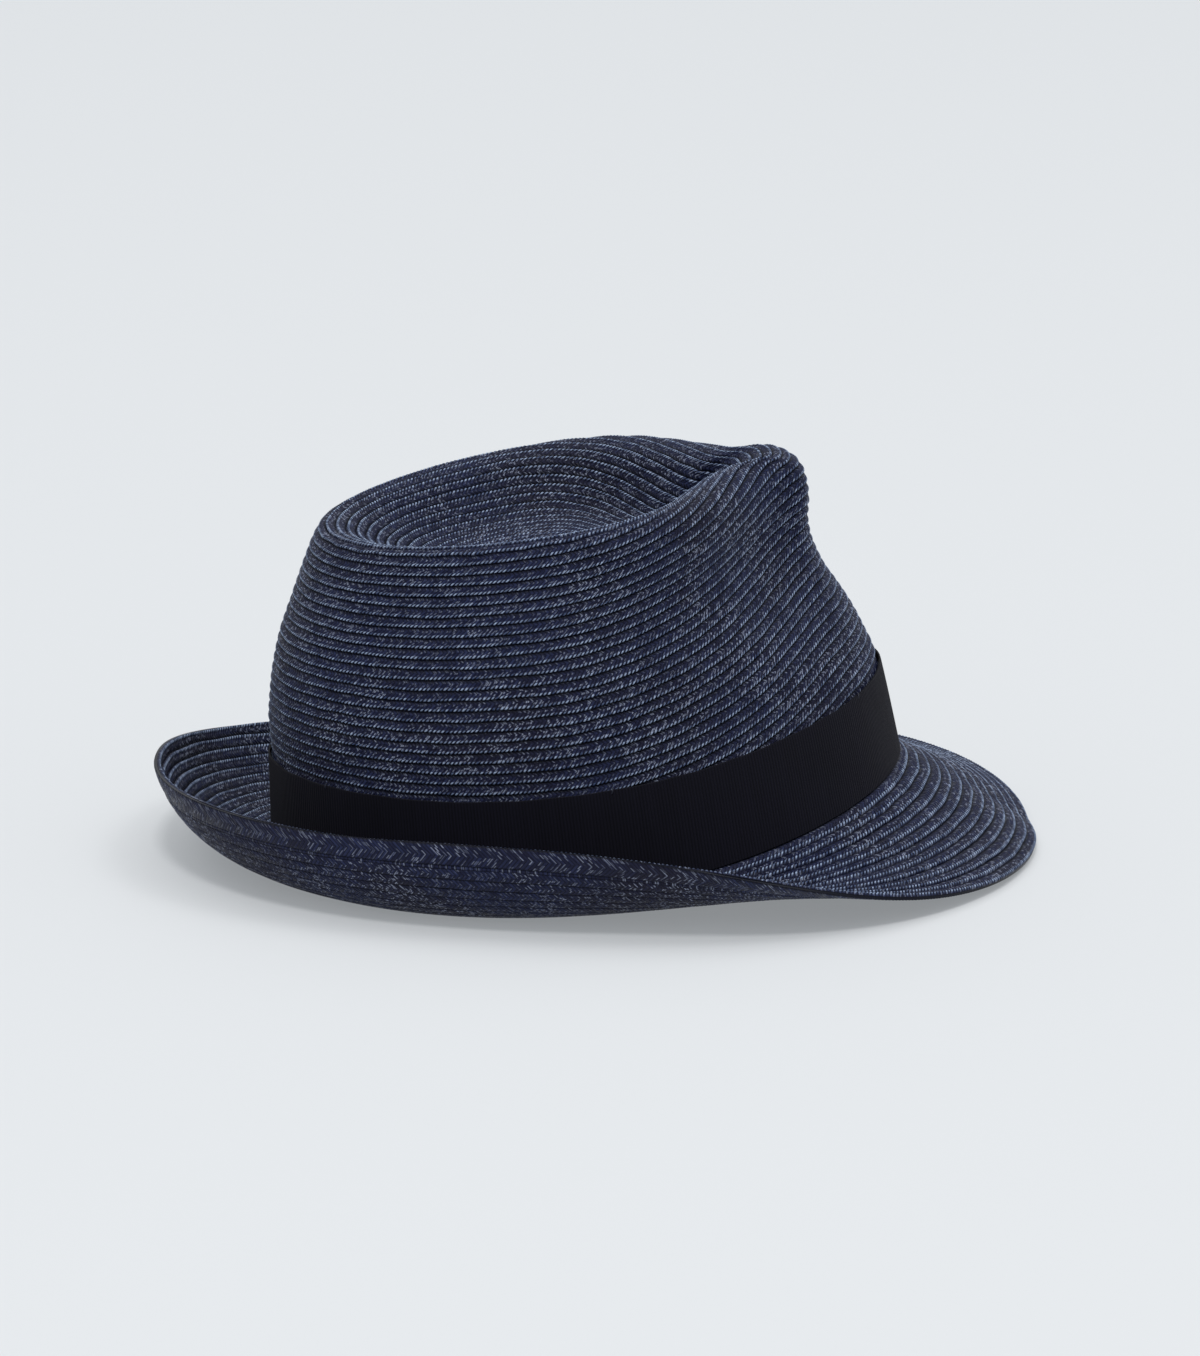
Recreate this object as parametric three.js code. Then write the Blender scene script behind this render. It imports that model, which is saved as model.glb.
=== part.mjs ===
// A snap-brim fedora of sewn braid, standing on its own brim.
// Millimetres, +Z up, the front of the hat towards -Y, the wearer's left towards +X.
// An angle of 0 is the front of the hat, 90 degrees is the wearer's left and 180 degrees the back.
import * as THREE from 'three';

const DEG = Math.PI / 180;

// ---- Driving dimensions ----
const WALL = 2.4;              // two overlapping layers of braid
const GAP = 0.3;               // clearance between neighbouring pieces
const BRIM_WIDTH_BACK = 52;    // along the surface, from the crown to the edge
const BRIM_WIDTH_FRONT = 56;
const EDGE_ROW_WIDTH = 7;      // the finishing row sewn under the edge of the brim
const EDGE_ROW_THICKNESS = 1.1;
const EDGE_ROW_START = 1 - EDGE_ROW_WIDTH / BRIM_WIDTH_BACK;   // as a fraction of the brim
const RIBBON_THICKNESS = 0.7;
const SWEATBAND_THICKNESS = 1;
const SWEATBAND_LEAN = 1.6;    // how far its top edge stands away from the crown
const REED_DIAMETER = 2.2;
const THREAD_DIAMETER = 0.5;
const TACKS = 6;               // short thread stitches that hold the ribbon's top edge
const REST_TILT = 6.9 * DEG;   // the brim snapped down in front lifts the front of the crown
const REST_HEIGHT = 12.9;      // the brim line's mean height above the table

// ---- Brim shape: the slope across the brim, seen from the crown outwards ----
const SLOPE_TURNED_UP = 44 * DEG;
const SLOPE_SNAPPED_DOWN = -43 * DEG;
const CURL_BACK = 38 * DEG;
const CURL_SIDE = 54 * DEG;
const CURL_SNAPPED_DOWN = -6 * DEG;
const TURN_START = { right: 119, left: 215 };   // degrees from the front where the brim starts down
const TURN_END = { right: 11, left: -55 };      // and where it is fully down

// ---- Resolution ----
const AROUND = 60;             // steps round the head
const CROWN_ROWS = 10;
const TIP_ROWS = 7;
const BRIM_ROWS = 9;

// Outlines of the crown, from the brim line up to the crease and down to the middle of the dent.
// shift moves an outline to the back, rise lifts its front, saddle lifts its front and back together,
// and pinch is how deeply the two front dents squeeze it.
const OUTLINES = [
  { halfLength: 107.5, halfWidth: 82, shift: -1, height: -0.5, rise: 1.4, saddle: 5.5, pinch: 0 },
  { halfLength: 104.3, halfWidth: 78, shift: -1, height: 32.3, rise: 1.4, saddle: 4.5, pinch: 0 },
  { halfLength: 102.5, halfWidth: 76, shift: 0.3, height: 46, rise: 1, saddle: 2.5, pinch: 0 },
  { halfLength: 98.9, halfWidth: 74, shift: 1.3, height: 60, rise: 0, saddle: 1, pinch: 0.06 },
  { halfLength: 93.2, halfWidth: 71.5, shift: 2.6, height: 75, rise: 0, saddle: 0, pinch: 0.3 },
  { halfLength: 88.6, halfWidth: 69, shift: 1, height: 88, rise: 0, saddle: 0, pinch: 0.49 },
  { halfLength: 86.5, halfWidth: 67, shift: -2.5, height: 100, rise: 0.5, saddle: 0, pinch: 0.57 },
  { halfLength: 83, halfWidth: 65.6, shift: -3.8, height: 109, rise: 1, saddle: 0, pinch: 0.59 },
  { halfLength: 76.5, halfWidth: 62, shift: -1.5, height: 113, rise: 1.8, saddle: 0, pinch: 0.63 },
  { halfLength: 65.5, halfWidth: 54, shift: 0.5, height: 110, rise: 1.5, saddle: 0, pinch: 0.66 },
  { halfLength: 54.5, halfWidth: 46, shift: 0, height: 101.5, rise: 0, saddle: 0, pinch: 0.62 },
  { halfLength: 41, halfWidth: 36, shift: 0.5, height: 94.5, rise: -0.5, saddle: 0, pinch: 0.45 },
  { halfLength: 21, halfWidth: 18, shift: 4, height: 92.5, rise: 0, saddle: 0, pinch: 0.25 },
  { halfLength: 0, halfWidth: 0, shift: 5, height: 92, rise: 0, saddle: 0, pinch: 0 },
];

// ---- Levels of the crown: 0 is the first outline, 1 the second, and between them the braid curves ----
const BRIM_LINE = 0;
const RIBBON_LOW = 0.035;
const RIBBON_TOP = 1;
const SWEATBAND_LOW = 0.05;
const SWEATBAND_HIGH = 1.25;
const CREASE = 8;
const DENT_CENTRE = OUTLINES.length - 1;
const SPLIT = 0.04;            // half the gap between the crown's side and tip

// ---- Depths below the crown's outer surface, in millimetres; negative ones are outside it ----
const RIBBON_OUTSIDE = -(GAP + RIBBON_THICKNESS);
const SWEATBAND_OUTSIDE = WALL + GAP;
const SWEATBAND_INSIDE = SWEATBAND_OUTSIDE + SWEATBAND_THICKNESS;
const CLEAR_OF_FACETS = GAP + 0.3;   // pieces laid on a faceted layer stand clear of its facets

// ---- The bow, on the wearer's left, in degrees from the front ----
const BOW_ANGLE = 96;
const KNOT_HALF = 3.6;
const LOOP_SPAN = 15;
const TAIL_SPAN = 21;

// ---- The surface of the braid ----

function outlinePoint(outline, angle) {
  const pinchAngle = (38 - 14 * outline.pinch) * DEG;
  const pinchSpread = (16 + 12 * outline.pinch) * DEG;
  const turned = Math.abs(Math.atan2(Math.sin(angle), Math.cos(angle)));
  const squeeze = 1 - outline.pinch * Math.exp(-(((turned - pinchAngle) / pinchSpread) ** 2));
  return new THREE.Vector3(
    outline.halfWidth * Math.sin(angle) * squeeze,
    outline.shift - outline.halfLength * Math.cos(angle),
    outline.height + outline.rise * Math.cos(angle) + outline.saddle * Math.cos(2 * angle),
  );
}

function catmullRom(a, b, c, d, t) {
  const slopeB = (c - a) / 2;
  const slopeC = (d - b) / 2;
  return b + slopeB * t + (3 * (c - b) - 2 * slopeB - slopeC) * t ** 2
    + (2 * (b - c) + slopeB + slopeC) * t ** 3;
}

// level counts outlines: 0 is the brim line, 8 the crease, 13 the middle of the dent.
function crownPoint(level, angle) {
  const below = Math.min(Math.floor(level), DENT_CENTRE - 1);
  const picks = [below - 1, below, below + 1, below + 2];
  const near = picks.map((i) => outlinePoint(OUTLINES[THREE.MathUtils.clamp(i, 0, DENT_CENTRE)], angle));
  const t = level - below;
  return new THREE.Vector3(
    catmullRom(near[0].x, near[1].x, near[2].x, near[3].x, t),
    catmullRom(near[0].y, near[1].y, near[2].y, near[3].y, t),
    catmullRom(near[0].z, near[1].z, near[2].z, near[3].z, t),
  );
}

// The rest pose: the hat leans back on its brim, and its own weight presses the brim flat where it
// meets the table. above is how much material lies between the point and the underside.
function settle(point, above = 0) {
  point.applyAxisAngle(new THREE.Vector3(1, 0, 0), -REST_TILT);
  point.z = Math.max(point.z + REST_HEIGHT, above);
  return point;
}

// A point at a depth inside the crown's outer surface; a negative depth is outside it.
function crownDepth(level, angle, depth) {
  const point = crownPoint(level, angle);
  if (level > DENT_CENTRE - 0.01) {
    return settle(point.add(new THREE.Vector3(0, 0, -depth)));
  }
  // Both sides of the split at the crease share one direction, so that their edges stay parallel.
  const at = Math.abs(level - CREASE) <= SPLIT ? CREASE : level;
  const step = 0.01;
  const upwards = crownPoint(at + step, angle).sub(crownPoint(Math.max(at - step, 0), angle));
  const sideways = crownPoint(at, angle + step).sub(crownPoint(at, angle - step));
  const normal = sideways.cross(upwards).normalize();
  return settle(point.addScaledVector(normal, -depth));
}

// 0 where the brim is turned up, 1 where it is snapped down.
function snapDown(angle) {
  const fromFront = Math.abs(Math.atan2(Math.sin(angle), Math.cos(angle))) / DEG;
  const leftward = (1 + Math.sin(angle)) / 2;
  const start = THREE.MathUtils.lerp(TURN_START.right, TURN_START.left, leftward);
  const end = THREE.MathUtils.lerp(TURN_END.right, TURN_END.left, leftward);
  return THREE.MathUtils.smoothstep(start - fromFront, 0, start - end);
}

// A point of the brim at a depth below its upper surface. across runs from 0 at the crown to 1 at
// the edge, and the braid follows an arc of a circle. Inside the brim line it is level.
function brimDepth(across, angle, depth) {
  const { lerp } = THREE.MathUtils;
  const down = snapDown(angle);
  const slope = lerp(SLOPE_TURNED_UP, SLOPE_SNAPPED_DOWN, down);
  const curlUp = lerp(CURL_BACK, CURL_SIDE, Math.sin(angle) ** 2);
  const curl = lerp(curlUp, CURL_SNAPPED_DOWN, down);
  const travelled = across * lerp(BRIM_WIDTH_BACK, BRIM_WIDTH_FRONT, ((1 + Math.cos(angle)) / 2) ** 2);
  const bend = curl * across;
  const chord = Math.abs(bend) < 1e-6 ? travelled : travelled * Math.sin(bend) / bend;
  const direction = across < 0 ? 0 : slope - curl + bend;
  const slopeHere = across < 0 ? 0 : direction + bend;
  const outwards = chord * Math.cos(direction) + depth * Math.sin(slopeHere);
  const upwards = chord * Math.sin(direction) - depth * Math.cos(slopeHere);
  const base = crownPoint(BRIM_LINE, angle);
  const line = OUTLINES[BRIM_LINE];
  const out = new THREE.Vector3(Math.sin(angle) / line.halfWidth, -Math.cos(angle) / line.halfLength, 0);
  base.addScaledVector(out.normalize(), outwards);
  base.z += upwards - GAP;
  return settle(base, WALL - depth);
}

// ---- Closed solids from sections ----

// A section is { outer, inner }: two rows of points of equal length.
function sectionLoop(section) {
  return [...section.outer, ...section.inner.slice().reverse()];
}

function solid(points, triangles) {
  const geometry = new THREE.BufferGeometry();
  geometry.setAttribute('position', new THREE.Float32BufferAttribute(points.flatMap((p) => [...p]), 3));
  geometry.setIndex(triangles);
  return geometry;
}

function joinLoops(triangles, first, second, count) {
  for (let j = 0; j < count; j++) {
    const k = (j + 1) % count;
    triangles.push(first + j, second + j, second + k, first + j, second + k, first + k);
  }
}

// The same kind of section all the way round the head.
function ringGeometry(sectionAt) {
  const points = [];
  const triangles = [];
  const count = sectionLoop(sectionAt(0)).length;
  for (let i = 0; i < AROUND; i++) {
    points.push(...sectionLoop(sectionAt(i * 2 * Math.PI / AROUND)));
    joinLoops(triangles, i * count, ((i + 1) % AROUND) * count, count);
  }
  return solid(points, triangles);
}

// A strip along part of the way round, closed by flat ends.
function stripGeometry(sectionAt, steps) {
  const points = [];
  const triangles = [];
  const rows = sectionAt(0).outer.length;
  const count = 2 * rows;
  for (let i = 0; i <= steps; i++) {
    points.push(...sectionLoop(sectionAt(i / steps)));
    if (i < steps) {
      joinLoops(triangles, i * count, (i + 1) * count, count);
    }
  }
  const last = steps * count;
  for (let j = 0; j < rows - 1; j++) {
    const k = count - 1 - j;
    triangles.push(j, j + 1, k - 1, j, k - 1, k);
    triangles.push(last + j, last + k - 1, last + j + 1, last + j, last + k, last + k - 1);
  }
  return solid(points, triangles);
}

// A dished disc: rows of points from its edge to a single middle point, above and below.
function discGeometry(pointAt, rows, thickness) {
  const points = [];
  const triangles = [];
  const ring = (depth, row) => {
    for (let i = 0; i < AROUND; i++) {
      points.push(pointAt(row / rows, i * 2 * Math.PI / AROUND, depth));
    }
  };
  for (let row = rows - 1; row >= 0; row--) {
    ring(0, row);
  }
  for (let row = 0; row < rows; row++) {
    ring(thickness, row);
  }
  for (let row = 0; row < 2 * rows - 1; row++) {
    joinLoops(triangles, row * AROUND, (row + 1) * AROUND, AROUND);
  }
  const top = points.push(pointAt(1, 0, 0)) - 1;
  const bottom = points.push(pointAt(1, 0, thickness)) - 1;
  const lastRing = (2 * rows - 1) * AROUND;
  for (let i = 0; i < AROUND; i++) {
    const k = (i + 1) % AROUND;
    triangles.push(top, i, k);
    triangles.push(bottom, lastRing + k, lastRing + i);
  }
  return solid(points, triangles);
}

function spread(from, to, steps) {
  return Array.from({ length: steps + 1 }, (_, i) => from + (to - from) * i / steps);
}

// ---- The pieces ----

function crownSide() {
  const levels = spread(BRIM_LINE + 0.035, CREASE - SPLIT, CROWN_ROWS);
  return ringGeometry((angle) => ({
    outer: levels.map((level) => crownDepth(level, angle, 0)),
    inner: levels.map((level) => crownDepth(level, angle, WALL)),
  }));
}

function crownTip() {
  const edge = CREASE + SPLIT;
  return discGeometry((t, angle, depth) => crownDepth(edge + (DENT_CENTRE - edge) * t, angle, depth),
    TIP_ROWS, WALL);
}

// The brim is thinner along its edge, where the edge row is sewn under it.
function brim() {
  const step = EDGE_ROW_START - 3 * GAP / BRIM_WIDTH_BACK;
  const edgeWall = WALL - EDGE_ROW_THICKNESS - 2 * GAP;
  const rows = spread(-WALL / BRIM_WIDTH_BACK, step, BRIM_ROWS).map((across) => ({ across, wall: WALL }));
  for (const across of [step + 0.002, (1 + EDGE_ROW_START) / 2, 1]) {
    rows.push({ across, wall: edgeWall });
  }
  return ringGeometry((angle) => ({
    outer: rows.map((row) => brimDepth(row.across, angle, row.wall)),
    inner: rows.map((row) => brimDepth(row.across, angle, 0)),
  }));
}

function brimEdgeRow() {
  const rows = spread(EDGE_ROW_START, 1, 2);
  return ringGeometry((angle) => ({
    outer: rows.map((across) => brimDepth(across, angle, WALL)),
    inner: rows.map((across) => brimDepth(across, angle, WALL - EDGE_ROW_THICKNESS)),
  }));
}

// A layer round the crown between two levels; depths are taken at its low and at its high edge.
function crownLayer(lowLevel, highLevel, outerDepth, innerDepth, lean = 0) {
  return ringGeometry((angle) => ({
    outer: [crownDepth(lowLevel, angle, outerDepth), crownDepth(highLevel, angle, outerDepth + lean)],
    inner: [crownDepth(lowLevel, angle, innerDepth), crownDepth(highLevel, angle, innerDepth + lean)],
  }));
}

function hatband() {
  return crownLayer(RIBBON_LOW, RIBBON_TOP, RIBBON_OUTSIDE, -GAP);
}

function sweatband() {
  return crownLayer(SWEATBAND_LOW, SWEATBAND_HIGH, SWEATBAND_OUTSIDE, SWEATBAND_INSIDE, SWEATBAND_LEAN);
}

// A round ring of thread or cane that follows the crown at one level and depth.
function crownCord(level, depth, diameter, sides, drop = 0) {
  const turns = spread(0, 2 * Math.PI, sides).slice(0, sides);
  const upper = turns.slice(0, sides / 2);
  const lower = turns.slice(sides / 2).reverse();
  const rim = (angle) => (turn) => {
    const depthHere = depth - diameter / 2 * Math.cos(turn);
    const point = crownDepth(level, angle, depthHere);
    point.z += diameter / 2 * Math.sin(turn) - drop;
    return point;
  };
  return ringGeometry((angle) => ({ outer: upper.map(rim(angle)), inner: lower.map(rim(angle)) }));
}

function sweatbandReed() {
  return crownCord(BRIM_LINE, SWEATBAND_INSIDE + REED_DIAMETER / 2, REED_DIAMETER, 6, 0.4);
}

function sweatbandStitching() {
  const level = 0.18;
  const depth = SWEATBAND_INSIDE + SWEATBAND_LEAN * level + GAP + THREAD_DIAMETER / 2;
  return crownCord(level, depth, THREAD_DIAMETER, 4);
}

// A patch lying along the crown: from one angle to another, with its own edges and thickness.
// shape(t) gives { low, high } levels and { near, far } depths at a fraction t of its length.
function crownPatch(fromAngle, toAngle, shape, steps, rows = 1) {
  return stripGeometry((t) => {
    const angle = THREE.MathUtils.lerp(fromAngle, toAngle, t) * DEG;
    const { low, high, near, far } = shape(t);
    const levels = spread(low, high, rows);
    return {
      outer: levels.map((level) => crownDepth(level, angle, near)),
      inner: levels.map((level) => crownDepth(level, angle, far)),
    };
  }, steps);
}

// ---- The bow, on the wearer's left ----

function bowKnot() {
  return crownPatch(BOW_ANGLE - KNOT_HALF, BOW_ANGLE + KNOT_HALF, (t) => ({
    low: 0.03,
    high: 0.97,
    near: RIBBON_OUTSIDE - CLEAR_OF_FACETS - 3.6 - 1.8 * Math.sin(Math.PI * t),
    far: RIBBON_OUTSIDE - CLEAR_OF_FACETS,
  }), 4);
}

// A flattened loop of ribbon at a fraction of its length from the knot to its tip:
// gathered where the knot holds it, and fullest in its middle.
function bowLoopShape(fromKnot, underneath) {
  const gather = 0.14 * (1 - fromKnot) ** 2;
  return {
    low: 0.06 + gather,
    high: 0.95 - gather,
    near: underneath - 1.2 - 2.2 * Math.sin(Math.PI * (0.15 + 0.7 * fromKnot)),
    far: underneath,
  };
}

function bowFrontLoop() {
  const end = BOW_ANGLE - KNOT_HALF - 0.4;
  const underneath = RIBBON_OUTSIDE - CLEAR_OF_FACETS;
  return crownPatch(end - LOOP_SPAN, end, (t) => bowLoopShape(1 - t, underneath), 6, 2);
}

function bowRearLoop() {
  const start = BOW_ANGLE + KNOT_HALF + 0.4;
  const underneath = RIBBON_OUTSIDE - CLEAR_OF_FACETS - RIBBON_THICKNESS - GAP;
  return crownPatch(start, start + LOOP_SPAN, (t) => bowLoopShape(t, underneath), 6, 2);
}

// The tail lies flat under the rear loop and is cut on a slant.
function bowTail() {
  const start = BOW_ANGLE + KNOT_HALF + 0.4;
  return crownPatch(start, start + TAIL_SPAN, (t) => ({
    low: 0.1,
    high: 0.92 - 0.3 * Math.max(0, (t - 0.8) / 0.2),
    near: RIBBON_OUTSIDE - CLEAR_OF_FACETS - RIBBON_THICKNESS,
    far: RIBBON_OUTSIDE - CLEAR_OF_FACETS,
  }), 10, 1);
}

// ---- Small pieces ----

function hatbandTack(number) {
  const middle = (number - 0.5) * 360 / TACKS;
  return crownPatch(middle - 0.2, middle + 0.2, () => ({
    low: 0.95,
    high: 1.03,
    near: RIBBON_OUTSIDE - GAP - THREAD_DIAMETER,
    far: RIBBON_OUTSIDE - GAP,
  }), 1);
}

function insideDepth(level) {
  const f = (level - SWEATBAND_LOW) / (SWEATBAND_HIGH - SWEATBAND_LOW);
  return SWEATBAND_INSIDE + SWEATBAND_LEAN * f + CLEAR_OF_FACETS;
}

// A patch on the inside face of the sweatband, leaning with it.
function sweatbandPatch(fromAngle, toAngle, low, high, thickness, lift = 0) {
  return stripGeometry((t) => {
    const angle = THREE.MathUtils.lerp(fromAngle, toAngle, t) * DEG;
    const levels = spread(low, high, 1);
    return {
      outer: levels.map((level) => crownDepth(level, angle, insideDepth(level) + lift)),
      inner: levels.map((level) => crownDepth(level, angle, insideDepth(level) + lift + thickness)),
    };
  }, 4);
}

function seamTape() {
  return sweatbandPatch(175.5, 184.5, 0.26, 1.18, 0.5);
}

function sizeLabel() {
  return sweatbandPatch(150, 162, 0.32, 0.8, 0.4);
}

// A small flat bow of narrow ribbon, waisted in the middle.
function sweatbandBow() {
  return stripGeometry((t) => {
    const angle = THREE.MathUtils.lerp(171, 189, t) * DEG;
    const halfHeight = 0.05 + 0.09 * Math.abs(Math.cos(Math.PI * t)) ** 0.7;
    const levels = [0.45 - halfHeight, 0.45 + halfHeight];
    const depth = (level) => insideDepth(level) + 0.5 + GAP + 0.3;
    return {
      outer: levels.map((level) => crownDepth(level, angle, depth(level))),
      inner: levels.map((level) => crownDepth(level, angle, depth(level) + 1.4)),
    };
  }, 8);
}

// The care label is sewn in behind the sweatband and stands up out of it.
function careLabel() {
  return crownPatch(196, 208, () => ({
    low: 1.29,
    high: 2.1,
    near: WALL + GAP + 0.2,
    far: WALL + GAP + 0.7,
  }), 4);
}

// ---- Assembly ----

const COLOURS = {
  braid: { color: 0x232c47, roughness: 0.62, metalness: 0 },
  ribbon: { color: 0x0b0d18, roughness: 0.7, metalness: 0 },
  leather: { color: 0x3a2a20, roughness: 0.55, metalness: 0 },
  thread: { color: 0x161a2c, roughness: 0.6, metalness: 0 },
  cane: { color: 0x9c8a6a, roughness: 0.5, metalness: 0 },
  label: { color: 0xd8d5cc, roughness: 0.8, metalness: 0 },
};

const PIECES = [
  ['crown_tip_braid', crownTip, COLOURS.braid],
  ['crown_side_braid', crownSide, COLOURS.braid],
  ['brim_braid', brim, COLOURS.braid],
  ['brim_edge_row', brimEdgeRow, COLOURS.braid],
  ['hatband_ribbon', hatband, COLOURS.ribbon],
  ['bow_front_loop', bowFrontLoop, COLOURS.ribbon],
  ['bow_rear_loop', bowRearLoop, COLOURS.ribbon],
  ['bow_tail', bowTail, COLOURS.ribbon],
  ['bow_knot', bowKnot, COLOURS.ribbon],
  ['sweatband', sweatband, COLOURS.leather],
  ['sweatband_reed', sweatbandReed, COLOURS.cane],
  ['sweatband_stitching', sweatbandStitching, COLOURS.thread],
  ['sweatband_seam_tape', seamTape, COLOURS.ribbon],
  ['sweatband_bow', sweatbandBow, COLOURS.ribbon],
  ['size_label', sizeLabel, COLOURS.label],
  ['care_label', careLabel, COLOURS.label],
];

for (let number = 1; number <= TACKS; number++) {
  PIECES.push([`hatband_tack_${number}`, () => hatbandTack(number), COLOURS.thread]);
}

const hat = new THREE.Group();
for (const [name, makeGeometry, look] of PIECES) {
  const mesh = new THREE.Mesh(makeGeometry(), new THREE.MeshStandardMaterial(look));
  mesh.name = name;
  hat.add(mesh);
}

// The origin is the middle of the hat's box, on the table.
const middle = new THREE.Box3().setFromObject(hat).getCenter(new THREE.Vector3());
hat.position.set(-middle.x, -middle.y, 0);

export default hat;
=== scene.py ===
import math

import bpy
import numpy as np
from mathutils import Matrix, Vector


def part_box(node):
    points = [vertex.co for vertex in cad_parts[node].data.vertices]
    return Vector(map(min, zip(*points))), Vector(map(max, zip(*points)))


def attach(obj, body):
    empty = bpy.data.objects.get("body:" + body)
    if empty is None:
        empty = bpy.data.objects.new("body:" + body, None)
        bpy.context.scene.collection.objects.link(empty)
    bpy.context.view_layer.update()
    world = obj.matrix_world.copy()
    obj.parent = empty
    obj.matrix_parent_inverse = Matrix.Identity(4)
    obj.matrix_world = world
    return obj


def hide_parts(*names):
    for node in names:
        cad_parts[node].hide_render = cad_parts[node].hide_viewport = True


# A snap-brim fedora of sewn braid. Shapes are worked out in millimetres, in the frame of the CAD
# model: +Z up, the front of the hat towards -Y, the wearer's left towards +X. An angle of 0 is the
# front of the hat, 90 degrees is the wearer's left and 180 degrees the back.
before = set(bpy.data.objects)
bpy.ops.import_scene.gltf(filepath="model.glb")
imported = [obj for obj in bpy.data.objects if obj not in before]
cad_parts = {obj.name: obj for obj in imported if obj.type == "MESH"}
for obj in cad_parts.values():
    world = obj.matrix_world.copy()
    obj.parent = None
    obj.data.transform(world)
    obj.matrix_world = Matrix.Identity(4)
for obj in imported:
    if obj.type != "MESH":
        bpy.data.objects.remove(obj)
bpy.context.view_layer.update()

MM = 0.001
PI = math.pi
TURN = 2 * PI

# ---- Dimensions of the CAD model, in millimetres ----
WALL = 2.4
GAP = 0.3
BRIM_WIDTH_BACK = 52
BRIM_WIDTH_FRONT = 56
EDGE_ROW_WIDTH = 7
EDGE_ROW_THICKNESS = 1.1
EDGE_ROW_START = 1 - EDGE_ROW_WIDTH / BRIM_WIDTH_BACK
BRIM_OVER_EDGE_ROW = WALL - EDGE_ROW_THICKNESS - 0.1  # thickness of the brim where it is sewn on
SWEATBAND_THICKNESS = 1.0
SWEATBAND_LEAN = 1.6
SWEATBAND_LOW, SWEATBAND_HIGH = 0.05, 1.25
REED_DIAMETER = 2.2
THREAD_DIAMETER = 0.5
REST_TILT = math.radians(6.9)
REST_HEIGHT = 12.9
SLOPE_TURNED_UP = math.radians(44)
SLOPE_SNAPPED_DOWN = math.radians(-43)
CURL_BACK = math.radians(38)
CURL_SIDE = math.radians(54)
CURL_SNAPPED_DOWN = math.radians(-6)

# Outlines of the crown, from the brim line up to the crease and down to the middle of the dent:
# half length, half width, shift to the back, height, rise of the front, saddle, depth of the pinch.
OUTLINES = np.array([
    (107.5, 82, -1, -0.5, 1.4, 5.5, 0),
    (104.3, 78, -1, 32.3, 1.4, 4.5, 0),
    (102.5, 76, 0.3, 46, 1, 2.5, 0),
    (98.9, 74, 1.3, 60, 0, 1, 0.06),
    (93.2, 71.5, 2.6, 75, 0, 0, 0.3),
    (88.6, 69, 1, 88, 0, 0, 0.49),
    (86.5, 67, -2.5, 100, 0.5, 0, 0.57),
    (83, 65.6, -3.8, 109, 1, 0, 0.59),
    (76.5, 62, -1.5, 113, 1.8, 0, 0.63),
    (65.5, 54, 0.5, 110, 1.5, 0, 0.66),
    (54.5, 46, 0, 101.5, 0, 0, 0.62),
    (41, 36, 0.5, 94.5, -0.5, 0, 0.45),
    (21, 18, 4, 92.5, 0, 0, 0.25),
    (0, 0, 5, 92, 0, 0, 0),
])
CREASE = 8
DENT_CENTRE = len(OUTLINES) - 1
CROWN_SIDE_LEVELS = 0.035, CREASE - 0.04  # where the CAD model's crown side starts and ends

# ---- The braid ----
STRAND = 1.45  # spacing of the plait's strands along a row
SAMPLES = 4  # mesh columns for each strand
TIP_ROWS = 20  # rows of braid from the middle of the dent to the crease
SIDE_ROWS = 34  # and from the crease down to the brim line
HIDDEN_ROW = TIP_ROWS + 30  # rows from here to the brim line lie under the hatband
ROWS_IN_BAND = 5
BRIM_ROWS = 13
CLIMB = 6.0  # how many rows higher the braid runs over the front of the crown
CLIMB_SPAN = np.radians([10, 98])  # from the front: where it has climbed, and where it starts
CHEVRON = 2.3  # how many strands the plait's chevron shifts across one row
SHOWN_CHEVRON = 0.40  # where across the row its strands meet, if the next row covers a part
FLAT_CHEVRON = 0.50  # and on the flat underside
EDGE_WANDER = 0.045  # how far a row's edge strays, in rows
SWELL = 0.04  # how far its height strays, in millimetres
SWELL_SEED = 500

# Across one row, from the edge tucked under the row before to the free edge: the position in the
# row, the height of the strands' tops over the CAD surface, how deep the grooves between them are,
# and how far the strands push the edge out, in rows.
SHOWN_ROW = np.array([
    (0.00, -0.95, 0.03, 0),
    (0.03, -0.90, 0.06, 0),
    (0.13, -0.62, 0.18, 0),
    (0.26, -0.42, 0.26, 0),
    (0.40, -0.32, 0.22, 0),
    (0.54, -0.28, 0.26, 0),
    (0.66, -0.28, 0.24, 0),
    (0.76, 0.02, 0.32, 0.01),
    (0.86, 0.16, 0.42, 0.03),
    (0.95, -0.08, 0.36, 0.06),
])
FLAT_ROW = np.array([
    (0.00, -0.48, 0.06, 0),
    (0.08, -0.12, 0.16, 0),
    (0.27, -0.02, 0.24, 0),
    (0.50, -0.01, 0.20, 0),
    (0.73, -0.03, 0.24, 0),
    (0.92, -0.14, 0.16, 0),
])
INSIDE_ROW = np.array([
    (0.00, -0.40, 0, 0),
    (0.10, -0.08, 0, 0),
    (0.50, -0.03, 0, 0),
    (0.90, -0.12, 0, 0),
])
# The finishing row under the brim's edge: position, height and grooves.
FINISHING_ROW = np.array([
    (0, -0.55, 0),
    (0.05, -0.22, 0.12),
    (0.12, -0.08, 0.16),
    (0.22, -0.05, 0.12),
    (0.36, 0, 0.14),
    (0.5, 0, 0.12),
    (0.64, 0, 0.14),
    (0.78, -0.05, 0.12),
    (0.88, -0.04, 0.18),
    (0.95, -0.14, 0.14),
    (1, -0.5, 0),
])

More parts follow.
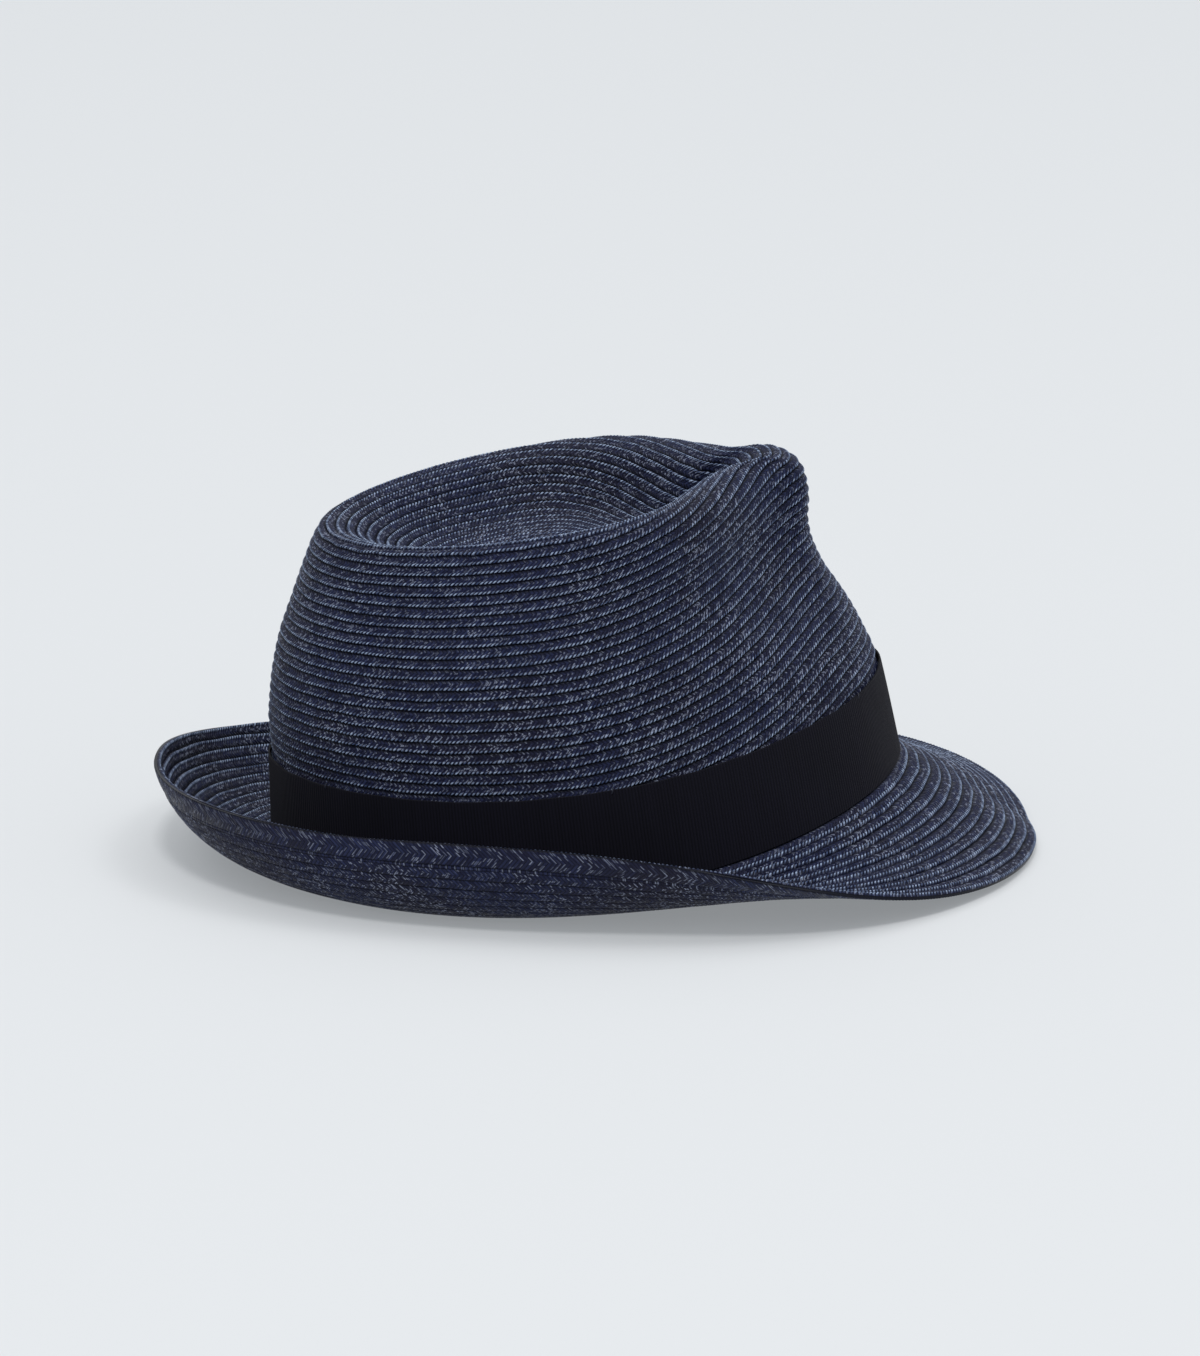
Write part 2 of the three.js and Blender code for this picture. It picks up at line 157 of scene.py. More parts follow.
# ---- The hatband, the bow and the sweatband ----
RIB = 1.1  # spacing of the ribs of the grosgrain
RIB_HEIGHT = 0.11
RIBBON_LIFT = 0.65  # of the hatband's middle over the crown
RIBBON_WIDTH = 32.8
BOW_RIBBON_WIDTH = 29
BOW_ANGLE = 96  # degrees from the front, on the wearer's left
BOW_LIFT = 1.9  # of the bow's lowest layer over the crown
KNOT_HALF = 3.6  # degrees
KNOT_OVERLAP = 1.2  # degrees that the loops and the tail reach under the knot
LOOP_REACH, TAIL_REACH = 15, 21  # degrees beyond the knot
TACKS = 6
SWEATBAND_OUTSIDE = WALL + GAP
SWEATBAND_INSIDE = SWEATBAND_OUTSIDE + SWEATBAND_THICKNESS
SWEATBAND_LENGTH, SWEATBAND_WIDTH = 590, 40  # in the weave map
STITCHES = 148
STITCH_LEVEL = 0.18
INSIDE_BOW_LEVEL = 0.45
LABEL_THICKNESS = 0.35


# ---- Surfaces of the hat, in millimetres ----

def lerp(a, b, t):
    return a + (b - a) * t


def smooth_step(x, low, high):
    t = np.clip((x - low) / (high - low), 0, 1)
    return t * t * (3 - 2 * t)


def unit(vectors):
    return vectors / np.linalg.norm(vectors, axis=-1, keepdims=True)


def from_front(angle):
    """How far an angle is from the front of the hat, to either side."""
    return np.abs(np.arctan2(np.sin(angle), np.cos(angle)))


def outline_points(picks, angle):
    half_length, half_width, shift, height, rise, saddle, pinch = np.moveaxis(OUTLINES[picks], -1, 0)
    pinch_angle = np.radians(38 - 14 * pinch)
    pinch_spread = np.radians(16 + 12 * pinch)
    squeeze = 1 - pinch * np.exp(-(((from_front(angle) - pinch_angle) / pinch_spread) ** 2))
    return np.stack([
        half_width * np.sin(angle) * squeeze,
        shift - half_length * np.cos(angle),
        height + rise * np.cos(angle) + saddle * np.cos(2 * angle),
    ], axis=-1)


def crown_points(level, angle):
    """Points of the crown. A level counts outlines: 0 is the brim line, 8 the crease, 13 the dent."""
    level, angle = np.broadcast_arrays(level, angle)
    below = np.minimum(np.floor(level).astype(int), DENT_CENTRE - 1)
    a, b, c, d = (outline_points(np.clip(below + i, 0, DENT_CENTRE), angle) for i in (-1, 0, 1, 2))
    t = (level - below)[..., None]
    slope_b, slope_c = (c - a) / 2, (d - b) / 2
    cubic = 2 * (b - c) + slope_b + slope_c
    return b + slope_b * t + (3 * (c - b) - 2 * slope_b - slope_c) * t**2 + cubic * t**3


def settle(point, above=0.0):
    """Leans the hat back on its brim, and presses the brim flat where it meets the table."""
    cos, sin = math.cos(REST_TILT), math.sin(REST_TILT)
    x, y, z = np.moveaxis(point, -1, 0)
    height = np.maximum(REST_HEIGHT - sin * y + cos * z, above)
    return np.stack([x, cos * y + sin * z, height], axis=-1)


def crown_depth(level, angle, depth=0.0):
    """Points at a depth inside the crown's outer surface; a negative depth is outside it."""
    level, angle, depth = np.broadcast_arrays(level, angle, np.asarray(depth, float))
    at = np.clip(level, 0, DENT_CENTRE - 0.02)
    upwards = crown_points(at + 0.01, angle) - crown_points(np.maximum(at - 0.01, 0), angle)
    sideways = crown_points(at, angle + 0.01) - crown_points(at, angle - 0.01)
    level_out = smooth_step(level, DENT_CENTRE - 0.3, DENT_CENTRE - 0.05)[..., None]
    normal = lerp(unit(np.cross(sideways, upwards)), np.array([0.0, 0.0, 1.0]), level_out)
    return settle(crown_points(level, angle) - depth[..., None] * normal)


def brim_depth(across, angle, depth=0.0):
    """Points of the brim at a depth below its upper surface, from 0 at the crown to 1 at its edge."""
    across, angle, depth = np.broadcast_arrays(across, angle, np.asarray(depth, float))
    leftward = (1 + np.sin(angle)) / 2
    start, end = lerp(119, 215, leftward), lerp(11, -55, leftward)
    down = smooth_step(start - np.degrees(from_front(angle)), 0, start - end)
    slope = lerp(SLOPE_TURNED_UP, SLOPE_SNAPPED_DOWN, down)
    curl = lerp(lerp(CURL_BACK, CURL_SIDE, np.sin(angle) ** 2), CURL_SNAPPED_DOWN, down)
    width = lerp(BRIM_WIDTH_BACK, BRIM_WIDTH_FRONT, ((1 + np.cos(angle)) / 2) ** 2)
    bend = curl * across
    chord = across * width * np.sinc(bend / PI)
    direction = np.where(across < 0, 0, slope - curl + bend)
    slope_here = np.where(across < 0, 0, direction + bend)
    outwards = chord * np.cos(direction) + depth * np.sin(slope_here)
    upwards = chord * np.sin(direction) - depth * np.cos(slope_here)
    half_length, half_width = OUTLINES[0, :2]
    out = np.stack([np.sin(angle) / half_width, -np.cos(angle) / half_length, 0 * angle], axis=-1)
    point = crown_points(0 * angle, angle) + outwards[..., None] * unit(out)
    point[..., 2] += upwards - GAP
    return settle(point, WALL - depth)


def frame_offset():
    """Where the CAD model's origin lies, found by matching the low corner of the crown's side."""
    angles = np.arange(60) * TURN / 60
    levels = np.linspace(*CROWN_SIDE_LEVELS, 11)[:, None]
    points = np.concatenate([crown_depth(levels, angles), crown_depth(levels, angles, WALL)])
    low = np.array(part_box("crown_side_braid")[0]) / MM
    return low - points.reshape(-1, 3).min(axis=0)


OFFSET = frame_offset()


# ---- Meshes ----

def add_object(name, data):
    made = bpy.data.objects.new(name, data)
    bpy.context.scene.collection.objects.link(made)
    return made


class Solid:
    """Collects the points and faces of one closed piece, with two UV maps: weave follows the
    threads, and OFBake spreads the faces out flat without overlaps."""

    def __init__(self):
        self.count = 0
        self.points, self.faces, self.smooth = [], [], []
        self.looks, self.weave, self.spread = [], [], []

    def add_points(self, points):
        self.points.append(points.reshape(-1, 3))
        index = self.count + np.arange(points.size // 3).reshape(points.shape[:-1])
        self.count += index.size
        return index

    def add_faces(self, corners, weave, spread, smooth=True, look=0):
        size = corners.shape[-1]
        self.faces.append(corners.reshape(-1, size))
        self.smooth.append(np.full(corners.size // size, smooth))
        self.looks.append(np.full(corners.size // size, look))
        self.weave.append(weave.reshape(-1, size, 2))
        self.spread.append(spread.reshape(-1, size, 2))

    def grid(self, index, weave, region, folds=1, flip=False, look=0):
        """Faces between lines of points. weave has a value for each corner of each face, and the
        faces fill a region of the OFBake map in several folds, one over the other."""
        lines, columns = index.shape
        corners = np.stack([index[:-1, :-1], index[1:, :-1], index[1:, 1:], index[:-1, 1:]], axis=-1)
        fold = np.minimum(np.arange(columns - 1) * folds // (columns - 1), folds - 1)
        start = -(-fold * (columns - 1) // folds)
        longest = -(-(columns - 1) // folds)
        left = (np.arange(columns - 1) - start) / longest
        u = np.stack([left, left, left + 1 / longest, left + 1 / longest], axis=-1)
        step = np.arange(lines - 1)[:, None] / (lines - 1)
        up = np.array([0, 1, 1, 0]) / (lines - 1)
        v = (fold[:, None] + 0.03 + 0.94 * (step[:, None] + up)) / folds
        low_u, low_v, high_u, high_v = region
        spread = np.stack([
            low_u + (high_u - low_u) * (0.01 + 0.98 * np.broadcast_to(u, corners.shape)),
            low_v + (high_v - low_v) * v,
        ], axis=-1)
        if flip:
            corners, weave, spread = corners[..., ::-1], weave[..., ::-1, :], spread[..., ::-1, :]
        self.add_faces(corners, weave, spread, look=look)

    def bridge(self, near, far, at, flip=False):
        """Closes a solid between two lines of points; near has a whole number of columns for each
        of far's. at is the corner of the OFBake map where these narrow faces go."""
        ratio = (len(near) - 1) // (len(far) - 1)
        for i in range(ratio):
            a, b = near[i:-1:ratio], near[i + 1::ratio]
            if i == ratio - 1:
                corners = np.stack([a, b, far[1:], far[:-1]], axis=-1)
            else:
                corners = np.stack([a, b, far[:-1]], axis=-1)
            if flip:
                corners = corners[:, ::-1]
            flat = np.zeros((*corners.shape, 2))
            place = np.linspace(0, 1, len(a))[:, None] + 0 * corners
            self.add_faces(corners, flat, np.stack([place, at + 0 * place], axis=-1), smooth=False)

    def cap(self, ring, centre, flip=False):
        corners = np.stack([ring[:-1], ring[1:], 0 * ring[1:] + centre], axis=-1)
        if flip:
            corners = corners[:, ::-1]
        flat = np.zeros((*corners.shape, 2))
        self.add_faces(corners, flat, flat + 0.002)

    def make(self, name, materials, nodes):
        points = (np.concatenate(self.points) + OFFSET) * MM
        loops = np.concatenate([f.ravel() for f in self.faces])
        sizes = np.concatenate([np.full(len(f), f.shape[1]) for f in self.faces])
        mesh = bpy.data.meshes.new(name)
        mesh.vertices.add(len(points))
        mesh.vertices.foreach_set("co", points.ravel())
        mesh.loops.add(len(loops))
        mesh.loops.foreach_set("vertex_index", loops)
        mesh.polygons.add(len(sizes))
        mesh.polygons.foreach_set("loop_start", np.cumsum(sizes) - sizes)
        mesh.polygons.foreach_set("use_smooth", np.concatenate(self.smooth))
        mesh.polygons.foreach_set("material_index", np.concatenate(self.looks))
        for layer, values in (("weave", self.weave), ("OFBake", self.spread)):
            uv = mesh.uv_layers.new(name=layer)
            uv.uv.foreach_set("vector", np.concatenate([w.ravel() for w in values]))
        mesh.update(calc_edges=True)
        mesh.validate()
        for material in materials if isinstance(materials, tuple) else (materials,):
            mesh.materials.append(material)
        piece = add_object(name, mesh)
        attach(piece, "root")
        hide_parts(*nodes)
        return piece


def wrap(values, axis=-1):
    """Repeats the first column at the end, so that a ring closes."""
    return np.concatenate([values, np.take(values, [0], axis=axis)], axis=axis)


def lengths_along(points):
    """Distances from the first point, down the first axis of an array of points."""
    steps = np.linalg.norm(np.diff(points, axis=0), axis=-1)
    return np.concatenate([0 * steps[:1], np.cumsum(steps, axis=0)])


def plain_weave(along, across):
    """Corner values for a grid from the coordinates of its columns and lines."""
    u = np.stack([along[:-1], along[:-1], along[1:], along[1:]], axis=-1)[None]
    v = np.stack([across[:-1], across[1:], across[1:], across[:-1]], axis=-1)[:, None]
    return np.stack(np.broadcast_arrays(u, v), axis=-1)


def ripple(seed, turn, waves=(2, 5, 9, 17, 31)):
    """A smooth random curve round the hat, about -1 to 1."""
    rng = np.random.default_rng(seed)
    total = 0 * turn
    for wave in waves:
        total = total + rng.normal() * np.cos(TURN * (wave * turn + rng.random()))
    return total / len(waves) ** 0.5


def even_angles(curve, spacing, multiple):
    """Angles that divide a closed curve into even steps; how many is a multiple of multiple."""
    angle = np.linspace(0, TURN, 1441)
    length = lengths_along(curve(angle))
    count = multiple * max(1, round(length[-1] / spacing / multiple))
    return np.interp(np.arange(count) * length[-1] / count, length, angle)


# ---- Rows of braid ----

class CrownRows:
    """Rows of the crown, counted from the middle of the dent down to the brim line."""

    def __init__(self, angles):
        self.angles = angles
        self.tip = np.linspace(DENT_CENTRE, CREASE, 160)
        self.side = np.linspace(CREASE, 0, 200)
        self.tip_length = lengths_along(crown_points(self.tip[:, None], angles))
        self.side_length = lengths_along(crown_points(self.side[:, None], angles))
        self.climb = CLIMB * (1 - smooth_step(from_front(angles), *CLIMB_SPAN))

    def levels(self, rows):
        """Levels for an array of lines by columns. Rows keep their width at the crease, and the
        uneven ones lie in the dent and under the hatband. In front the rows climb over the crease."""
        climbing = smooth_step(rows, 0, 0.9 * TIP_ROWS)
        covered = smooth_step(rows, HIDDEN_ROW, TIP_ROWS + SIDE_ROWS)
        rows = rows - self.climb * climbing * (1 - covered)
        total, side_total = self.tip_length[-1], self.side_length[-1]
        inwards = np.clip((TIP_ROWS - rows) / TIP_ROWS, 0, 1)
        from_crease = total.mean() * inwards + (total - total.mean()) * inwards**2
        down = np.clip((rows - TIP_ROWS) / SIDE_ROWS, 0, 1) * side_total
        result = np.empty(rows.shape)
        for i in range(rows.shape[1]):
            tip = np.interp(total[i] - from_crease[:, i], self.tip_length[:, i], self.tip)
            side = np.interp(down[:, i], self.side_length[:, i], self.side)
            result[:, i] = np.where(rows[:, i] < TIP_ROWS, tip, side)
        return result

    def point(self, rows, depth):
        return crown_depth(self.levels(rows), self.angles, depth)


class BrimRows:
    """Rows of the brim, counted from the crown. The first one starts under the crown's wall and
    rises to meet it."""

    def __init__(self, angles):
        self.angles = angles

    def point(self, rows, depth):
        across = np.where(rows < 0.02, -0.9 * WALL / BRIM_WIDTH_BACK, rows / BRIM_ROWS)
        level = np.where((rows < 0.5) & (depth < WALL / 2), -0.3, depth)
        return brim_depth(across, self.angles, level)


def strand_backs(strand):
    """The height of the strands' round backs, 0 in the grooves and 1 on top."""
    return np.abs(np.sin(PI * strand)) ** 0.9


def braid_lines(surface, first, last, profile, seed, inside=False):
    """Points of the lines that make up rows of braid, and the weave coordinates of their faces:
    strands along the row, and rows across with the position in the row."""
    chevron = FLAT_CHEVRON if inside else SHOWN_CHEVRON
    angles = surface.angles
    turn = angles / TURN
    rows = np.arange(first, last)
    edges = np.array([ripple(seed + row, turn) for row in range(first, last + 1)])
    edges = EDGE_WANDER * edges
    swell = np.array([ripple(seed + SWELL_SEED + row, turn, (1, 3, 7, 12)) for row in rows])
    middle = np.broadcast_to((rows + 0.6)[:, None], (len(rows), len(angles)))
    course = surface.point(middle, 0.0)
    length = lengths_along(wrap(course, axis=1).swapaxes(0, 1)).T
    strands = np.maximum(3, np.round(length[:, -1:] / STRAND))
    offset = np.random.default_rng(seed + first).random((len(rows), 1))
    phase = length / length[:, -1:] * strands + offset

    place, top, deep, scallop = profile.T
    row_at = np.repeat(np.arange(len(rows)), len(place))
    place_at = np.tile(place, len(rows))
    position = (rows[row_at] + place_at)[:, None]
    position = position + lerp(edges[row_at], edges[row_at + 1], place_at[:, None])
    slant = CHEVRON * np.abs(place_at - chevron)[:, None]
    strand = strand_backs(phase[row_at, :-1] + slant)
    position = position + np.tile(scallop, len(rows))[:, None] * (strand - 0.6)
    height = np.tile(top, len(rows))[:, None] + SWELL * swell[row_at]
    height = height + np.tile(deep, len(rows))[:, None] * (strand - 1)
    position = np.concatenate([position, last + edges[-1:]])
    height = np.concatenate([height, top[0] + 0 * height[-1:]])
    if inside:
        height = np.minimum(height, 0)
    points = surface.point(position, WALL + height if inside else -height)

    low = rows[row_at] + place_at
    high = rows[row_at] + np.tile(np.append(place[1:], 1.0), len(rows))
    along = phase[row_at]
    u = np.stack([along[:, :-1], along[:, :-1], along[:, 1:], along[:, 1:]], axis=-1)
    v = np.stack([low, high, high, low], axis=-1)[:, None]
    return points, np.stack(np.broadcast_arrays(u, v), axis=-1)


def braid_band(name, node, material, curve, first, last, make_rows, inner, inner_ratio, seed, folds):
    """A closed ring of braid rows: their shown side, their inside, and the edges between. The
    crown's first band closes over the middle of the dent."""
    angles = even_angles(curve, STRAND / SAMPLES, 2 * SAMPLES)
    points, weave = braid_lines(make_rows(angles), first, last, SHOWN_ROW, seed)
    solid = Solid()
    top = wrap(solid.add_points(points))
    solid.grid(top, weave, (0, 0.36, 1, 1), folds)
    points, weave = braid_lines(make_rows(angles[::inner_ratio]), first, last, inner, seed, True)
    bottom = wrap(solid.add_points(points))
    solid.grid(bottom, weave, (0, 0.01, 1, 0.35), folds, flip=True, look=1)
    solid.bridge(top[-1], bottom[-1], 0.356, flip=True)
    if make_rows is CrownRows and first == 0:
        middle = crown_depth(np.array([DENT_CENTRE, DENT_CENTRE]), 0.0, np.array([0.3, WALL - 0.1]))
        solid.add_points(middle)
        solid.cap(top[0], solid.count - 2)
        solid.cap(bottom[0], solid.count - 1, flip=True)
    else:
        solid.bridge(top[0], bottom[0], 0.356)
    return solid.make(name, material, [node])


def crown_curve(row):
    def curve(angle):
        rows = CrownRows(angle)
        return rows.point(np.full((1, len(angle)), float(row)), 0.0)[0]
    return curve


def brim_curve(row):
    return lambda angle: brim_depth(row / BRIM_ROWS, angle)


CROWN_BRAID = {"make_rows": CrownRows, "inner": INSIDE_ROW, "inner_ratio": 2, "seed": 100, "folds": 6}
BRIM_BRAID = {"make_rows": BrimRows, "inner": FLAT_ROW, "inner_ratio": 1, "seed": 300, "folds": 7}
TIP_BANDS = [(0, 5), (5, 9), (9, 13), (13, 17), (17, TIP_ROWS)]
BRIM_BANDS = [(0, 3), (3, 6), (6, 9), (9, 11)]


def make_crown(material):
    for number, (first, last) in enumerate(TIP_BANDS, 1):
        braid_band(f"crown_tip_rows_{number}", "crown_tip_braid", material, crown_curve(last - 1),
                   first, last, **CROWN_BRAID)
    for number, first in enumerate(range(TIP_ROWS, HIDDEN_ROW, ROWS_IN_BAND), 1):
        last = first + ROWS_IN_BAND
        braid_band(f"crown_side_rows_{number}", "crown_side_braid", material,
                   crown_curve((first + last) / 2), first, last, **CROWN_BRAID)
    braid_band("crown_side_rows_hidden", "crown_side_braid", material, crown_curve(HIDDEN_ROW + 2),
               HIDDEN_ROW, TIP_ROWS + SIDE_ROWS, **CROWN_BRAID)


def make_brim(material):
    for number, (first, last) in enumerate(BRIM_BANDS, 1):
        braid_band(f"brim_rows_{number}", "brim_braid", material, brim_curve((first + last) / 2),
                   first, last, **BRIM_BRAID)
    make_brim_edge(material)


def make_brim_edge(material):
    """The last rows of the brim, thinner where the edge row is sewn under them."""
    first = BRIM_BANDS[-1][1]
    angles = even_angles(brim_curve(first + 1), STRAND / SAMPLES, 2 * SAMPLES)
    points, weave = braid_lines(BrimRows(angles), first, BRIM_ROWS, SHOWN_ROW, BRIM_BRAID["seed"])
    solid = Solid()
    top = wrap(solid.add_points(points))
    solid.grid(top, weave, (0, 0.2, 1, 1), 7)
    across = np.array([first / BRIM_ROWS, EDGE_ROW_START - 0.006, EDGE_ROW_START + 0.004, 1.0])
    depth = np.array([WALL - GAP, WALL - GAP, BRIM_OVER_EDGE_ROW, BRIM_OVER_EDGE_ROW])
    bottom = wrap(solid.add_points(brim_depth(across[:, None], angles, depth[:, None])))
    along = np.arange(bottom.shape[1]) / SAMPLES
    solid.grid(bottom, plain_weave(along, first + 0.5 + 0 * across), (0, 0.01, 1, 0.18), 7, flip=True)
    solid.bridge(top[-1], bottom[-1], 0.19, flip=True)
    solid.bridge(top[0], bottom[0], 0.19)
    solid.make("brim_rows_edge", material, ["brim_braid"])


def make_edge_row(material):
    """The finishing row, a full width of braid that lies flat under the brim's edge."""
    angles = even_angles(brim_curve(12.5), STRAND / SAMPLES, 2 * SAMPLES)
    length = lengths_along(wrap(brim_depth(0.93, angles), axis=0))
    phase = length / length[-1] * round(length[-1] / STRAND)
    place, height, deep = FINISHING_ROW.T[..., None]
    slant = 2 * CHEVRON * np.abs(place - FLAT_CHEVRON)
    relief = np.minimum(height + deep * (strand_backs(phase[:-1] + slant) - 1), 0)
    edge = ripple(41, angles / TURN) * 0.0015
    across = lerp(EDGE_ROW_START + edge, 1.004 + 0 * edge, place)
    solid = Solid()
    under = wrap(solid.add_points(brim_depth(across, angles, WALL + relief)))
    weave = plain_weave(phase, 40 + place[:, 0])
    solid.grid(under, weave, (0, 0.3, 1, 1), 8, flip=True)
    across = np.array([EDGE_ROW_START, 0.93, 1.0])[:, None]
    over = wrap(solid.add_points(brim_depth(across, angles, BRIM_OVER_EDGE_ROW)))
    solid.grid(over, plain_weave(phase, 40.5 + 0 * across[:, 0]), (0, 0.01, 1, 0.28), 8)
    solid.bridge(over[-1], under[-1], 0.29, flip=True)
    solid.bridge(over[0], under[0], 0.29)
    solid.make("brim_edge_row_braid", material, ["brim_edge_row"])


# ---- Cloth, leather and thread ----

def sheet_normals(points, closed):
    along = np.gradient(points, axis=1)
    if closed:
        along = (np.roll(points, -1, axis=1) - np.roll(points, 1, axis=1)) / 2
    return unit(np.cross(along, np.gradient(points, axis=0)))


def thick_sheet(name, points, thickness, along, across, material, nodes,
                closed=False, relief=0.0, folds=1, lining_relief=0.0):
    """A closed sheet of a thickness around lines of points. along and across are the cloth's own
    coordinates, in millimetres. relief raises the side that faces along x across."""
    normal = sheet_normals(points, closed)
    above = np.broadcast_to(thickness / 2 + relief, points.shape[:2])[..., None]
    below = np.broadcast_to(thickness / 2 + lining_relief, points.shape[:2])[..., None]
    solid = Solid()
    upper = solid.add_points(points + normal * above)
    lower = solid.add_points(points - normal * below)
    if closed:
        upper, lower = wrap(upper), wrap(lower)
    weave = plain_weave(along, across)
    solid.grid(upper, weave, (0, 0.51, 1, 0.99), folds, flip=True)
    solid.grid(lower, weave, (0, 0.02, 1, 0.49), folds)
    solid.bridge(lower[0], upper[0], 0.5)
    solid.bridge(lower[-1], upper[-1], 0.5, flip=True)
    if not closed:
        solid.bridge(lower[:, 0], upper[:, 0], 0.5, flip=True)
        solid.bridge(lower[:, -1], upper[:, -1], 0.5)
    return solid.make(name, material, nodes)


def tube(name, path, radius, sides, along, material, nodes, closed=True):
    """A round thread or cane along a path."""
    ahead = np.roll(path, -1, axis=0) - np.roll(path, 1, axis=0) if closed else np.gradient(path, axis=0)
    side = unit(np.cross(unit(ahead), np.array([0.0, 0.0, 1.0])))
    up = np.cross(side, unit(ahead))
    turn = np.arange(sides) * TURN / sides
    radius = np.broadcast_to(radius, len(path))[:, None]
    ring = np.cos(turn)[:, None, None] * side + np.sin(turn)[:, None, None] * up
    solid = Solid()
    index = solid.add_points(path + radius * ring)
    index = wrap(index, axis=0)
    if closed:
        index = wrap(index)
    solid.grid(index, plain_weave(along, np.linspace(0, 1, sides + 1)), (0, 0.02, 1, 0.98), 4, flip=True)
    if not closed:
        solid.add_points(path[[0, -1]])
        solid.cap(index[:, 0], solid.count - 2)
        solid.cap(index[:, -1], solid.count - 1, flip=True)
    return solid.make(name, material, nodes)


def rib_relief(along):
    return RIB_HEIGHT * (np.abs(np.sin(PI * along / RIB)) ** 1.3 - 0.5)


def make_ribbon(material):
    """The hatband, a ring of grosgrain whose ribs stand upright."""
    def curve(angle):
        return crown_depth(0.5, angle, -RIBBON_LIFT)

    angles = even_angles(curve, RIB / 4, 4)
    turn = angles / TURN
    length = lengths_along(wrap(curve(angles), axis=0))
    along = length / length[-1] * round(length[-1] / RIB) * RIB
    across = np.array([0, 0.012, 0.03, 0.1, 0.25, 0.4, 0.55, 0.7, 0.82, 0.92, 0.97, 0.988, 1.0])
    low = 0.004 + 0.002 * ripple(61, turn)
    high = 1 + 0.006 * ripple(62, turn)
    levels = lerp(low, high, across[:, None])
    ease = 0.10 * ripple(63, turn, (3, 5, 8)) + 0.12 * np.outer(across**2, ripple(64, turn, (7, 12, 19)))
    points = crown_depth(levels, angles, -RIBBON_LIFT - np.abs(ease))
    ribs = rib_relief(along[:-1]) * np.where((across > 0.02) & (across < 0.98), 1.0, 0.3)[:, None]
    piece = thick_sheet("hatband_grosgrain", points, 0.55, along, across * RIBBON_WIDTH, material,
                        ["hatband_ribbon"], closed=True, relief=ribs, folds=5)


def bow_strip(name, node, angle, low, high, lift, material, thickness=0.6, lines=14):
    """A strip of ribbon in the bow. angle, lift and the levels of its edges are given along it."""
    steps = 4 * max(8, round(strip_length(angle, lift) / RIB))
    t = np.linspace(0, 1, len(angle))
    fine = np.linspace(0, 1, steps + 1)
    angle, low, high, lift = (np.interp(fine, t, x) for x in (angle, low, high, lift))
    across = np.linspace(0, 1, lines)
    points = crown_depth(lerp(low, high, across[:, None]), np.radians(angle), -lift)
    along = lengths_along(points[lines // 2])
    ribs = rib_relief(along)
    thick_sheet(name, points, thickness, along, across * BOW_RIBBON_WIDTH, material, [node],
                relief=ribs, lining_relief=ribs)


def strip_length(angle, lift):
    return float(np.hypot(np.diff(angle) * 1.8, np.diff(lift)).sum())


def bow_loop(name, node, side, underneath, material):
    """A flattened loop: out from the knot over the top, round its tip and back underneath."""
    knot = BOW_ANGLE + side * (KNOT_HALF - KNOT_OVERLAP)
    tip = BOW_ANGLE + side * (KNOT_HALF + LOOP_REACH)
    t = np.linspace(0, 1, 120)
    tip_start, tip_end = 0.46, 0.54
    out = np.clip(t / tip_start, 0, 1)
    back = np.clip((t - tip_end) / (1 - tip_end), 0, 1)
    round_tip = np.clip((t - tip_start) / (tip_end - tip_start), 0, 1)
    from_knot = np.where(t < 0.5, out, 1 - back)
    bulge = 0.6 + 2.9 * np.sin(PI * (0.12 + 0.66 * from_knot)) ** 1.3
    tip_bulge = bulge[np.argmin(np.abs(t - tip_start))]
    fold = tip_bulge * (0.5 + 0.5 * np.cos(PI * round_tip))
    lift = underneath + np.where(t < tip_start, bulge, fold)
    beyond = 0.6 * np.sin(PI * round_tip)
    angle = lerp(knot, tip, from_knot) + side * beyond
    gather = 0.15 * (1 - from_knot) ** 2
    bow_strip(name, node, angle, 0.07 + gather, 0.94 - gather, lift, material)


def make_bow(material):
    bow_loop("bow_front_ribbon", "bow_front_loop", -1, BOW_LIFT + 0.3, material)
    bow_loop("bow_rear_ribbon", "bow_rear_loop", 1, BOW_LIFT + 1.0, material)
    t = np.linspace(0, 1, 60)
    angle = BOW_ANGLE + KNOT_HALF + lerp(-KNOT_OVERLAP, TAIL_REACH, t)
    slant = np.clip((t - 0.8) / 0.2, 0, 1)
    lift = BOW_LIFT + 0.1 + 0.25 * np.sin(3 * PI * t) ** 2 * t
    bow_strip("bow_tail_ribbon", "bow_tail", angle, 0.1 + 0 * t, 0.92 - 0.3 * slant, lift, material,
              thickness=0.5)
    make_knot(material)


def make_knot(material):
    """The knot: a length of ribbon folded lengthways, wrapped over the middle of the bow."""
    t = np.linspace(0, 1, 4 * 30 + 1)
    lines = 29
    side = np.linspace(-1, 1, lines)[:, None]
    level = lerp(0.045, 0.965, t)
    tuck = np.clip(np.sin(PI * t) / 0.25, 0, 1) ** 0.6
    pleats = 0.35 * np.cos(3.2 * PI * side) * (0.4 + 0.6 * tuck)
    arch = 5.0 + 1.5 * (1 - side**2) + pleats
    lift = lerp(BOW_LIFT, arch, tuck)
    waist = 1 - 0.12 * np.sin(PI * t)
    angle = BOW_ANGLE + KNOT_HALF * 0.97 * side * waist
    edge = np.clip((np.abs(side) - 0.86) / 0.14, 0, 1) ** 2
    lift = lerp(lift, 2.4, edge * 0.75)
    points = crown_depth(level, np.radians(angle), -lift)
    along = lengths_along(points[lines // 2])
    thick_sheet("bow_knot_ribbon", points[::-1], 0.6, along, 6 * side[:, 0], material, ["bow_knot"],
                relief=rib_relief(along))


